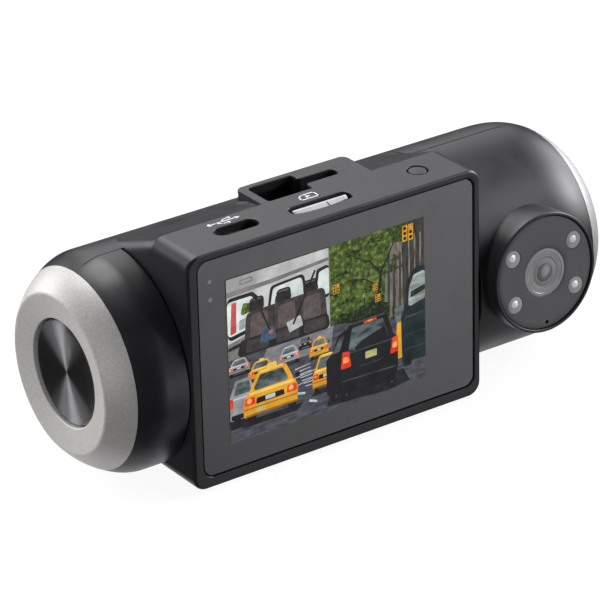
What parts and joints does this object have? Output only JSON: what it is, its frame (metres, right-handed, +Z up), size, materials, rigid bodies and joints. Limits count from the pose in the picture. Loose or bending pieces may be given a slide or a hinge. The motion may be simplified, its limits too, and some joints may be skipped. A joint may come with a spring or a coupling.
{
  "type": "dash camera",
  "caption": "Tube-shaped dash camera with a screen block, silver end caps, a turning cabin camera barrel, a road lens at the back and a slide-in bracket slot on top.",
  "frame": {"origin": "middle of the windscreen bracket slot, on the flat top face", "axes": "+X to the right as seen from the cabin, along the tube; +Y to the road; +Z up, out of the bracket slot"},
  "size_m": [0.1051, 0.0446, 0.0441],
  "materials": {
    "black_plastic": "fine spark-textured black plastic, satin",
    "inner_plastic": "plain moulded black plastic",
    "gloss_black": "polished black plastic",
    "silver_paint": "fine metallic silver paint, satin",
    "spun_metal": "black anodised, spun in fine circles",
    "cover_glass": "polished flat glass, black printed border",
    "display": "colour liquid crystal panel",
    "steel": "plain stamped steel",
    "aluminium": "plain extruded",
    "board": "green solder mask",
    "card_plastic": "smooth light grey plastic",
    "clear_plastic": "clear to milky moulded plastic",
    "battery_wrap": "shrink-wrapped cell",
    "antenna_ceramic": "unglazed ceramic patch",
    "lens_glass": "coated lens glass",
    "washer": "friction film",
    "ribbon": "flexible printed circuit"
  },
  "bodies": {
    "housing": {"screen_housing": "black_plastic", "road_housing": "black_plastic", "left_barrel_cover": "black_plastic", "left_cap_ring": "silver_paint", "screen_glass": "cover_glass", "display_panel": "display", "display_frame": "steel", "main_board": "board", "processor": "gloss_black", "heat_spreader": "aluminium", "usb_socket": "steel", "usb_tongue": "gloss_black", "card_socket": "steel", "power_switch": "steel", "status_light_guides": "clear_plastic", "backup_battery": "battery_wrap", "speaker": "gloss_black", "gps_antenna": "antenna_ceramic", "slot_rail": "steel", "slot_spring": "steel", "road_lens_bezel": "gloss_black", "road_lens_barrel": "inner_plastic", "road_lens_glass": "lens_glass", "road_sensor_board": "board", "pivot_flange": "inner_plastic", "pivot_retainer": "steel", "friction_washer": "washer", "housing_screws": "steel", "camera_ribbon": "ribbon", "end_switch_board": "board", "end_switch": "steel"},
    "memory_card": {"memory_card": "card_plastic"},
    "power_button": {"power_button": "black_plastic"},
    "end_button": {"end_button": "spun_metal"},
    "cabin_barrel": {"cabin_barrel_front": "black_plastic", "cabin_barrel_rear": "black_plastic", "cabin_hub": "inner_plastic", "right_cap_ring": "silver_paint", "right_cap_disc": "spun_metal", "pod_face": "gloss_black", "cabin_lens_barrel": "inner_plastic", "cabin_lens_glass": "lens_glass", "infrared_leds": "clear_plastic", "cabin_sensor_board": "board", "cabin_microphone": "steel"}
  },
  "joints": [
    {"name": "cabin_barrel_turn", "type": "hinge", "parent": "housing", "child": "cabin_barrel", "pos_m": [0.041, 0.0053, -0.0245], "axis": [1, 0, 0], "range_deg": [-25, 65]},
    {"name": "power_button_press", "type": "slide", "parent": "housing", "child": "power_button", "axis": [0, 0, -1], "range_m": [0, 0.0004], "stiffness_N_per_m": 300},
    {"name": "end_button_press", "type": "slide", "parent": "housing", "child": "end_button", "axis": [1, 0, 0], "range_m": [0, 0.0005], "stiffness_N_per_m": 300},
    {"name": "memory_card_slide", "type": "slide", "parent": "housing", "child": "memory_card", "axis": [0, 0, 1], "range_m": [0, 0.0145]}
  ]
}
